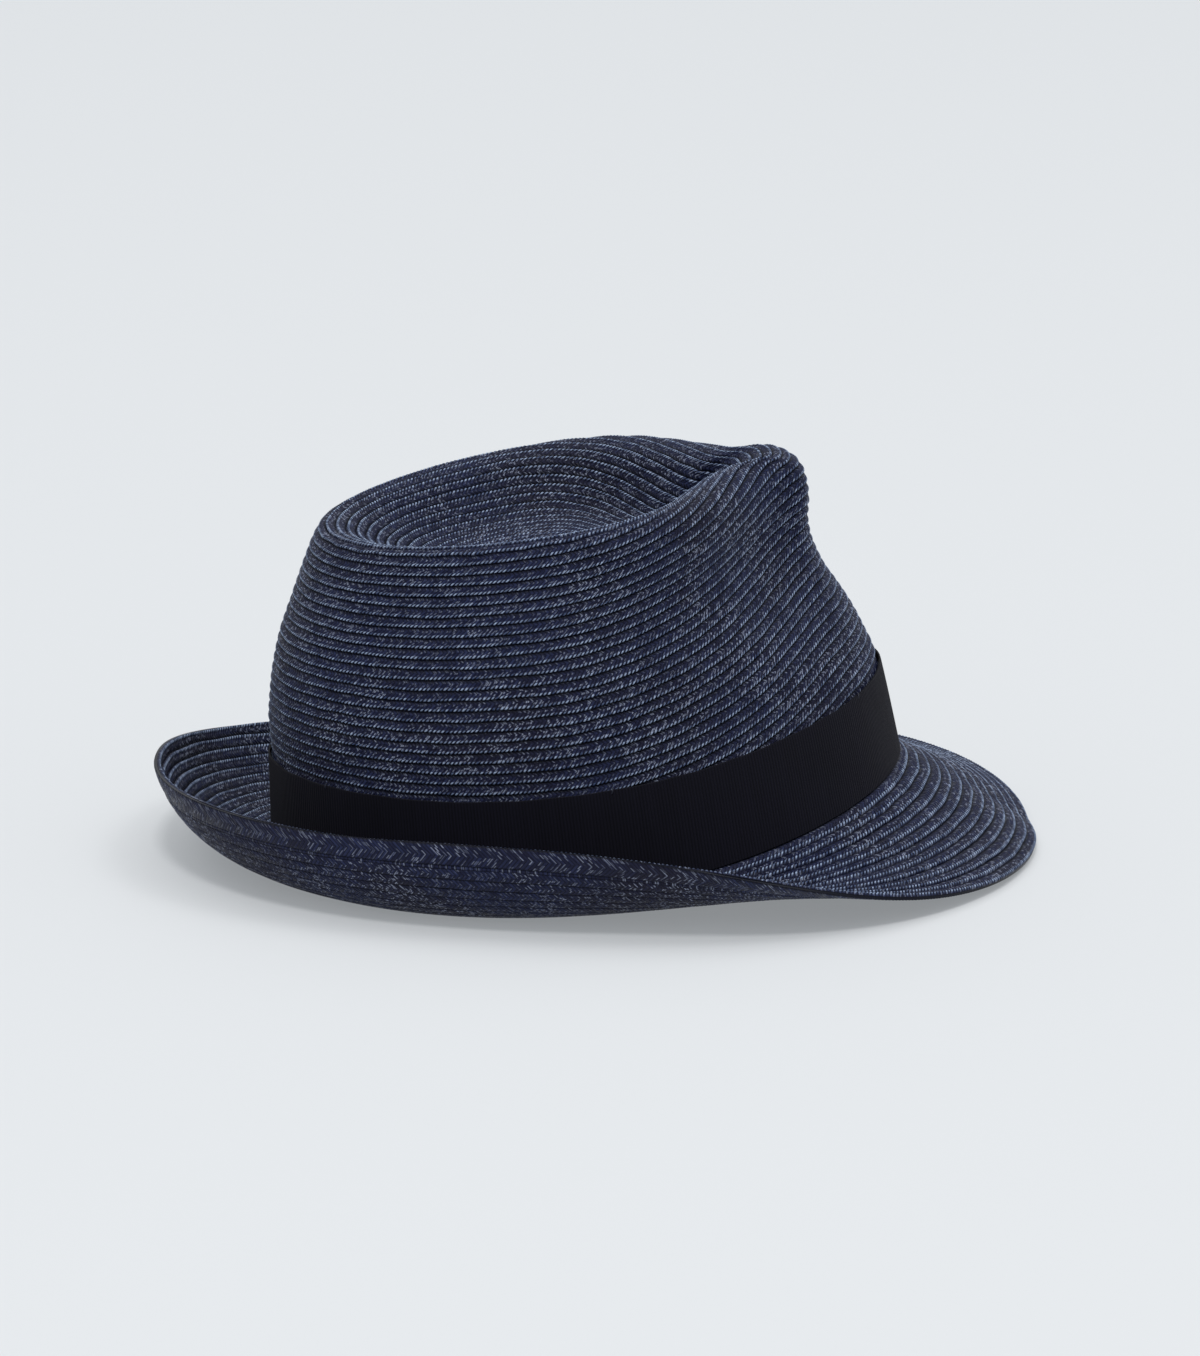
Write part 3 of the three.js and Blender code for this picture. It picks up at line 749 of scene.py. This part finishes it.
def make_tacks(material):
    """Short slanted stitches that hold the ribbon's top edge."""
    for number in range(1, TACKS + 1):
        middle = (number - 0.5) * 360 / TACKS
        t = np.linspace(0, 1, 17)
        level = lerp(0.955, 1.035, t)
        lift = 0.75 + 0.62 * np.sin(PI * t) ** 0.5
        path = crown_depth(level, np.radians(middle + lerp(-0.18, 0.18, t)), -lift)
        radius = THREAD_DIAMETER / 2 * (0.75 + 0.25 * np.sin(PI * t))
        tube(f"hatband_tack_thread_{number}", path, radius, 8, 4 * t, material,
             [f"hatband_tack_{number}"], closed=False)


def inside_depth(level):
    """The depth of the sweatband's inner face."""
    return SWEATBAND_INSIDE + SWEATBAND_LEAN * (level - SWEATBAND_LOW) / (SWEATBAND_HIGH - SWEATBAND_LOW)


def make_sweatband(material):
    angles = np.arange(720) * TURN / 720
    turn = angles / TURN
    across = np.array([0, 0.01, 0.04, 0.09, 0.12, 0.15, 0.2, 0.3,
                       0.42, 0.54, 0.66, 0.78, 0.88, 0.95, 0.99, 1])
    levels = lerp(SWEATBAND_LOW, SWEATBAND_HIGH + 0.006 * ripple(71, turn, (2, 3, 7)), across[:, None])
    wave = 0.35 * np.outer(across**1.5, ripple(72, turn, (3, 5, 8, 11)))
    depth = inside_depth(levels) - SWEATBAND_THICKNESS / 2 + np.clip(wave, -0.25, 0.6)
    points = crown_depth(levels, angles, depth)
    pressed = -0.12 * np.exp(-(((across - 0.105) / 0.02) ** 2))[:, None]
    thickness = np.where((across == 0) | (across == 1), 0.5, 0.9)[:, None]
    along = np.linspace(0, SWEATBAND_LENGTH, len(angles) + 1)
    thick_sheet("sweatband_leather", points[:, ::-1], thickness, along, across * SWEATBAND_WIDTH,
                material, ["sweatband"], closed=True, relief=pressed, folds=5)


def make_reed(material):
    """The reed in the sweatband's lower edge, under its covering, bound every few millimetres."""
    count = SWEATBAND_LENGTH
    angles = np.arange(count) * TURN / count
    path = crown_depth(0, angles, SWEATBAND_INSIDE + REED_DIAMETER / 2)
    path[:, 2] -= 0.4
    bound = 0.92 + 0.08 * np.abs(np.sin(PI * np.arange(count) / 5))
    tube("sweatband_reed_cover", path, REED_DIAMETER / 2 * bound, 14, np.arange(count + 1.0), material,
         ["sweatband_reed"])


def make_stitching(material):
    """Sweatband stitches, one thread that dips into the leather between them."""
    steps = 12
    count = STITCHES * steps
    angles = np.arange(count) * TURN / count
    part = np.arange(count) % steps / steps
    rise = np.clip(np.sin(PI * part), 0, 1) ** 0.5
    path = crown_depth(STITCH_LEVEL, angles, inside_depth(STITCH_LEVEL) - 0.32 + 0.42 * rise)
    radius = THREAD_DIAMETER / 2 * (0.7 + 0.3 * rise)
    tube("sweatband_stitches", path, radius, 8, np.linspace(0, SWEATBAND_LENGTH, count + 1), material,
         ["sweatband_stitching"])


def hem(along, across, side):
    """The raised border of a label."""
    return 0.12 * ((along < side) | (along > 1 - side) | (across < 0.06) | (across > 0.94))


def inside_patch(name, node, start, end, low, high, thickness, material, curl=0.0):
    """A piece of cloth on the sweatband's inner face."""
    lines, columns = 20, 60
    angle = np.radians(np.linspace(start, end, columns))
    across = np.linspace(0, 1, lines)[:, None]
    along = np.linspace(0, 1, columns)
    levels = lerp(low, high, across)
    corners = np.abs(2 * along - 1) ** 6 + np.abs(2 * across - 1) ** 6
    depth = inside_depth(levels) + 0.75 + curl * corners + 0.05 * np.sin(9 * along + 4 * across)
    points = crown_depth(levels, angle, depth)
    length = lengths_along(points[lines // 2])[-1]
    height = lengths_along(points[:, columns // 2])[-1]
    thick_sheet(name, points[:, ::-1], thickness, along * length, across[:, 0] * height, material,
                [node], relief=hem(along, across, 0.06)[:, ::-1])


def make_inside_trim(cloth, tape):
    inside_patch("size_label_cloth", "size_label", 150, 162, 0.32, 0.8, LABEL_THICKNESS, cloth,
                 curl=0.15)
    inside_patch("sweatband_seam_cover", "sweatband_seam_tape", 175.5, 184.5, 0.26, 1.18, 0.45, tape)
    make_care_label(cloth)
    make_inside_bow(tape)


def make_care_label(cloth):
    """Stands up from behind the sweatband, and leans a little away from the crown."""
    angle = np.radians(np.linspace(196, 208, 60))
    across = np.linspace(0, 1, 24)[:, None]
    along = np.linspace(0, 1, 60)
    depth = SWEATBAND_OUTSIDE + 0.45 + 0.9 * across**2 * (0.7 + 0.3 * np.sin(5 * along))
    points = crown_depth(lerp(1.29, 2.1, across), angle, depth)
    thick_sheet("care_label_cloth", points[:, ::-1], LABEL_THICKNESS, along * 19, across[:, 0] * 22,
                cloth, ["care_label"], relief=hem(along, across, 0.05)[:, ::-1])


def make_inside_bow(tape):
    """The small flat bow at the back: two loops of narrow ribbon and a wrapped middle."""
    middle_depth = inside_depth(INSIDE_BOW_LEVEL) + 1.55
    t = np.linspace(0, 1, 81)
    out = np.sin(PI * t)
    half = 0.045 + 0.085 * np.sin(PI * np.clip(out, 0, 1) / 2) ** 1.2
    depth = middle_depth + 0.75 * np.cos(PI * t) * np.clip(3 * (1 - out) + 0.5, 0, 1)
    across = np.linspace(-1, 1, 11)[:, None]
    for number, side in ((1, -1), (2, 1)):
        angle = np.radians(180 + side * 8.6 * out**0.8)
        points = crown_depth(INSIDE_BOW_LEVEL + half * across, angle, depth)
        thick_sheet(f"sweatband_bow_loop_{number}", points, 0.3, lengths_along(points[5]),
                    4 * across[:, 0], tape, ["sweatband_bow"])
    steps = 40
    turn = np.arange(steps) * TURN / steps
    across = np.linspace(-1, 1, 9)[:, None]
    points = crown_depth(INSIDE_BOW_LEVEL + 0.075 * np.sin(turn), np.radians(180 + 1.15 * across),
                         middle_depth - 1.15 * np.cos(turn))
    thick_sheet("sweatband_bow_middle", points, 0.3, np.linspace(0, 9, steps + 1), 2 * across[:, 0],
                tape, ["sweatband_bow"], closed=True)


# ---- Materials ----

class Graph:
    """Builds a material's nodes with short calls."""

    def __init__(self, name):
        self.material = bpy.data.materials.new(name)
        self.material.use_nodes = True
        self.tree = self.material.node_tree
        self.shader = self.tree.nodes["Principled BSDF"]

    def link(self, value, socket):
        if isinstance(value, bpy.types.NodeSocket):
            self.tree.links.new(value, socket)
        elif isinstance(value, tuple):
            socket.default_value = (*value, 1.0)
        else:
            socket.default_value = value

    def node(self, kind, **settings):
        made = self.tree.nodes.new("ShaderNode" + kind)
        for key, value in settings.items():
            setattr(made, key, value)
        return made

    def math(self, operation, *values):
        made = self.node("Math", operation=operation)
        for value, socket in zip(values, made.inputs):
            self.link(value, socket)
        return made.outputs[0]

    def times(self, first, second):
        return self.math("MULTIPLY", first, second)

    def plus(self, first, second):
        return self.math("ADD", first, second)

    def away_from(self, value, middle):
        return self.math("ABSOLUTE", self.math("SUBTRACT", value, middle))

    def waves(self, value, pace):
        return self.math("ABSOLUTE", self.math("SINE", self.times(value, pace)))

    def combine(self, x, y, z):
        made = self.node("CombineXYZ")
        for value, socket in zip((x, y, z), made.inputs):
            self.link(value, socket)
        return made.outputs[0]

    def weave(self):
        uv = self.node("UVMap", uv_map="weave")
        split = self.node("SeparateXYZ")
        self.tree.links.new(uv.outputs[0], split.inputs[0])
        return split.outputs[0], split.outputs[1]

    def object_place(self):
        return self.node("TexCoord").outputs["Object"]

    def random(self, vector):
        made = self.node("TexWhiteNoise", noise_dimensions="3D")
        self.link(vector, made.inputs["Vector"])
        return made.outputs["Value"]

    def noise(self, vector, scale, detail=2.0, roughness=0.5):
        made = self.node("TexNoise")
        self.link(vector, made.inputs["Vector"])
        made.inputs["Scale"].default_value = scale
        made.inputs["Detail"].default_value = detail
        made.inputs["Roughness"].default_value = roughness
        return made.outputs[0]

    def ramp(self, value, low, high, to_low=0.0, to_high=1.0):
        made = self.node("MapRange", interpolation_type="SMOOTHSTEP")
        for setting, socket in zip((value, low, high, to_low, to_high), made.inputs):
            self.link(setting, socket)
        return made.outputs[0]

    def mix(self, factor, first, second):
        made = self.node("Mix", data_type="RGBA")
        self.link(factor, made.inputs["Factor"])
        self.link(first, made.inputs[6])
        self.link(second, made.inputs[7])
        return made.outputs[2]

    def bump(self, height, distance, strength):
        made = self.node("Bump")
        made.inputs["Distance"].default_value = distance
        made.inputs["Strength"].default_value = strength
        self.link(height, made.inputs["Height"])
        return made.outputs[0]

    def set(self, **inputs):
        for key, value in inputs.items():
            self.link(value, self.shader.inputs[key.replace("_", " ")])
        return self.material


def braid_material(name, chevron, width, rope_edge):
    """Plaited hemp: slanted strands that meet in a chevron, each with its own tint and gloss. Where
    the row's free edge shows, it looks like a rope, its beads lit with a painted highlight. Painted
    glints fleck the strands, and painted shade darkens the grooves and the joins between rows."""
    g = Graph(name)
    along, across = g.weave()
    row = g.math("FLOOR", across)
    place = g.math("FRACT", across)
    side = g.math("GREATER_THAN", place, chevron)
    from_middle = g.away_from(place, chevron)
    strand = g.plus(along, g.times(from_middle, width))
    number = g.math("FLOOR", strand)
    inside = g.math("FRACT", strand)
    own = g.random(g.combine(number, row, side))
    fine = g.times(strand, 2.0)
    piece = g.math("FLOOR", g.times(place, 6.0))
    second = g.random(g.combine(g.math("FLOOR", fine), row, g.plus(piece, 7.0)))
    fibre = g.noise(g.combine(g.times(strand, 9.0), g.times(across, 2.2), own),
                    1.0, 3.0, 0.6)
    patch = g.noise(g.object_place(), 22.0, 3.0, 0.55)
    # Light flecks, partly lighter fibres and partly painted glints, gathered by sparkle into patches as
    # the glints of a lamp would be.
    sparkle = g.ramp(g.noise(g.object_place(), 45.0, 2.0, 0.5), 0.35, 0.65, 0.35, 1.0)
    off_thread = g.away_from(g.math("FRACT", fine), 0.5)
    glint_and_fibre_fleck = g.times(g.ramp(second, 0.68, 0.98, 0.0, 0.85),
                  g.ramp(off_thread, 0.2, 0.5, 1.0, 0.0))
    from_crest = g.away_from(inside, 0.5)
    # Painted shade in the grooves between the strands.
    groove_shade = g.ramp(from_crest, 0.24, 0.5)
    # Painted shade where rows meet: on the shown side over the part tucked under the row before, on the
    # flat side at both edges of each row.
    if rope_edge:
        row_join_shade = g.ramp(place, 0.02, 0.40, 1.0, 0.0)
        rope = g.times(g.ramp(place, 0.70, 0.80), g.ramp(place, 0.92, 0.99, 1.0, 0.0))
    else:
        row_join_shade = g.ramp(g.away_from(place, 0.5), 0.40, 0.50)
        rope = 0.0
    painted_bead_highlight = g.ramp(from_crest, 0.12, 0.32, 1.0, 0.0)
    tint = g.mix(g.math("POWER", own, 1.6), (0.0050, 0.0068, 0.028), (0.020, 0.027, 0.076))
    tint = g.mix(g.ramp(fibre, 0.42, 0.80, 0.0, 0.5), tint, (0.034, 0.044, 0.105))
    tint = g.mix(g.ramp(patch, 0.38, 0.68, 0.0, 0.5), tint, (0.011, 0.008, 0.014))
    # Light flecks: lighter fibres and painted glints.
    tint = g.mix(g.times(glint_and_fibre_fleck, sparkle), tint, (0.300, 0.335, 0.450))
    # Painted highlight: the crests of the rope edge's beads are tinted a light blue, as if they caught
    # the light.
    tint = g.mix(g.times(rope, painted_bead_highlight), tint,
                 g.mix(own, (0.045, 0.070, 0.150), (0.360, 0.450, 0.620)))
    # Painted shade: the grooves between the strands are darkened almost to black.
    tint = g.mix(g.times(groove_shade, 0.93), tint, (0.003, 0.004, 0.012))
    # Painted shade at the joins between rows.
    tint = g.mix(g.times(row_join_shade, 0.95), tint, (0.0015, 0.002, 0.006))
    rough = g.ramp(g.plus(g.times(own, 0.5), g.times(fibre, 0.5)),
                   0.2, 0.8, 0.28, 0.55)
    round_strand = g.math("SINE", g.times(inside, PI))
    height = g.plus(g.times(round_strand, 0.7), g.times(fibre, 0.9))
    return g.set(Base_Color=tint, Roughness=rough, Normal=g.bump(height, 0.00025, 0.9),
                 Specular_IOR_Level=0.12)


def grosgrain_material():
    g = Graph("grosgrain")
    along, across = g.weave()
    rib = g.math("FRACT", g.math("DIVIDE", along, RIB))
    number = g.math("FLOOR", g.math("DIVIDE", along, RIB))
    own = g.random(g.combine(number, 0.0, 0.0))
    crest = g.math("SINE", g.times(rib, PI))
    thread = g.noise(g.combine(g.times(along, 1.2), g.times(across, 5.0), 0.0),
                     1.0, 2.0, 0.6)
    cloud = g.noise(g.object_place(), 30.0, 2.0)
    # Painted highlight on each rib's crest and painted shade between the ribs.
    tint = g.mix(crest, (0.0007, 0.0007, 0.0020), (0.0048, 0.0045, 0.0105))
    tint = g.mix(g.times(own, 0.35), tint, (0.0055, 0.0052, 0.0120))
    tint = g.mix(g.ramp(thread, 0.45, 0.8, 0.0, 0.4), tint, (0.0065, 0.0062, 0.0130))
    tint = g.mix(g.ramp(cloud, 0.4, 0.7, 0.0, 0.3), tint, (0.0015, 0.0014, 0.0036))
    rough = g.ramp(thread, 0.3, 0.8, 0.72, 0.88)
    height = g.plus(crest, g.times(thread, 0.5))
    return g.set(Base_Color=tint, Roughness=rough, Normal=g.bump(height, 0.00008, 0.7),
                 Sheen_Weight=0.03, Sheen_Roughness=0.5, Specular_IOR_Level=0.12)


def leather_material():
    g = Graph("sweatband_leather")
    place = g.object_place()
    pores = g.node("TexVoronoi", feature="DISTANCE_TO_EDGE")
    g.link(place, pores.inputs["Vector"])
    pores.inputs["Scale"].default_value = 900.0
    grain = g.ramp(pores.outputs["Distance"], 0.0, 0.25)
    cloud = g.noise(place, 35.0, 4.0, 0.6)
    fine = g.noise(place, 1400.0, 2.0)
    tint = g.mix(cloud, (0.020, 0.013, 0.008), (0.052, 0.030, 0.018))
    tint = g.mix(g.times(g.math("SUBTRACT", 1.0, grain), 0.5), tint,
                 (0.010, 0.007, 0.005))
    rough = g.ramp(cloud, 0.3, 0.7, 0.42, 0.6)
    height = g.plus(grain, g.times(fine, 0.4))
    return g.set(Base_Color=tint, Roughness=rough, Normal=g.bump(height, 0.00012, 0.6))


def thread_material():
    """Twisted thread."""
    g = Graph("thread")
    along, across = g.weave()
    twist = g.math("FRACT", g.plus(g.times(along, 1.6), across))
    ply = g.math("SINE", g.times(twist, PI))
    fuzz = g.noise(g.object_place(), 1500.0, 2.0)
    tint = g.mix(ply, (0.004, 0.005, 0.012), (0.020, 0.024, 0.046))
    tint = g.mix(g.ramp(fuzz, 0.5, 0.8, 0.0, 0.4), tint, (0.040, 0.045, 0.070))
    rough = g.ramp(fuzz, 0.3, 0.7, 0.5, 0.7)
    return g.set(Base_Color=tint, Roughness=rough, Normal=g.bump(ply, 0.0001, 0.8))


def reed_material():
    """A cane reed in an open gauze cover."""
    g = Graph("reed")
    along, across = g.weave()
    thread_a = g.waves(along, PI * 1.3)
    thread_b = g.waves(across, PI * 9)
    net = g.math("MAXIMUM", thread_a, thread_b)
    cloud = g.noise(g.object_place(), 120.0, 3.0)
    tint = g.mix(g.ramp(net, 0.75, 1.0), (0.11, 0.075, 0.042), (0.42, 0.35, 0.24))
    tint = g.mix(g.ramp(cloud, 0.35, 0.75, 0.0, 0.5), tint, (0.20, 0.15, 0.09))
    rough = g.ramp(net, 0.6, 1.0, 0.42, 0.75)
    return g.set(Base_Color=tint, Roughness=rough, Normal=g.bump(net, 0.00012, 0.7))


def label_material():
    """Woven satin tape, left blank."""
    g = Graph("label")
    along, across = g.weave()
    warp = g.waves(along, PI * 2.6)
    weft = g.waves(across, PI * 3.4)
    cloth = g.times(warp, weft)
    cloud = g.noise(g.object_place(), 150.0, 3.0)
    tint = g.mix(cloth, (0.50, 0.48, 0.43), (0.72, 0.70, 0.65))
    tint = g.mix(g.ramp(cloud, 0.4, 0.7, 0.0, 0.3), tint, (0.58, 0.55, 0.48))
    rough = g.ramp(cloth, 0.0, 1.0, 0.75, 0.55)
    return g.set(Base_Color=tint, Roughness=rough, Normal=g.bump(cloth, 0.00007, 0.7))


def floor_material():
    g = Graph("floor")
    return g.set(Base_Color=(0.45, 0.456, 0.463), Roughness=0.9, Specular_IOR_Level=0.1,
                 Emission_Color=(0.243, 0.255, 0.264), Emission_Strength=1.0)


# ---- Scene ----

def make_floor():
    mesh = bpy.data.meshes.new("floor")
    size = 6.0
    corners = [(-size, -size, 0), (size, -size, 0), (size, size, 0), (-size, size, 0)]
    mesh.from_pydata(corners, [], [(0, 1, 2, 3)])
    mesh.materials.append(floor_material())
    floor = add_object("floor", mesh)


def add_area_light(name, location, target, size, power):
    data = bpy.data.lights.new(name, "AREA")
    data.size = size
    data.energy = power
    light = add_object(name, data)
    light.location = location
    light.rotation_euler = (Vector(target) - Vector(location)).to_track_quat("-Z", "Y").to_euler()


def make_lights():
    target = (0.0, 0.0, 0.05)
    add_area_light("overhead", (2.0, 0.0, 4.5), (2.0, 0.0, 0.0), 7.0, 112)
    add_area_light("key", (-2.4, 0.6, 4.2), target, 0.8, 78)
    add_area_light("front", (-0.5, -1.7, 3.4), target, 1.2, 16)
    world = bpy.data.worlds.new("studio")
    world.use_nodes = True
    background = world.node_tree.nodes["Background"]
    background.inputs["Color"].default_value = (0.93, 0.965, 1.0, 1.0)
    background.inputs["Strength"].default_value = 0.60
    bpy.context.scene.world = world


CAMERA_AZIMUTH = math.radians(261.55)
CAMERA_ELEVATION = math.radians(14.94)
CAMERA_DISTANCE = 3.5
AIM_RIGHT, AIM_UP = 0.00183, 0.05583  # of the hat's origin, in metres
PICTURE_HEIGHT = 0.4628  # how much of the scene the picture takes in at that distance


def make_camera():
    right = Vector((math.cos(CAMERA_AZIMUTH), math.sin(CAMERA_AZIMUTH), 0))
    level = Vector((right.y, -right.x, 0))
    back = level * math.cos(CAMERA_ELEVATION) + Vector((0, 0, math.sin(CAMERA_ELEVATION)))
    up = back.cross(right)
    data = bpy.data.cameras.new("camera")
    data.sensor_width = 36
    data.lens = data.sensor_width * CAMERA_DISTANCE / PICTURE_HEIGHT
    data.clip_start, data.clip_end = 0.1, 30
    camera = add_object("camera", data)
    camera.location = back * CAMERA_DISTANCE + right * AIM_RIGHT + up * AIM_UP
    camera.rotation_mode = "QUATERNION"
    camera.rotation_quaternion = (-back).to_track_quat("-Z", "Y")
    bpy.context.scene.camera = camera


def main():
    make_camera()
    make_floor()
    make_lights()
    braid = (braid_material("braid_shown", SHOWN_CHEVRON, CHEVRON, True),
             braid_material("braid_flat", FLAT_CHEVRON, CHEVRON, False))
    make_crown(braid)
    make_brim(braid)
    make_edge_row(braid_material("braid_edge_row", FLAT_CHEVRON, 2 * CHEVRON, False))
    grosgrain = grosgrain_material()
    thread = thread_material()
    make_ribbon(grosgrain)
    make_bow(grosgrain)
    make_tacks(thread)
    make_sweatband(leather_material())
    make_reed(reed_material())
    make_stitching(thread)
    make_inside_trim(label_material(), grosgrain)
    bpy.context.scene.view_settings.view_transform = "Standard"


main()
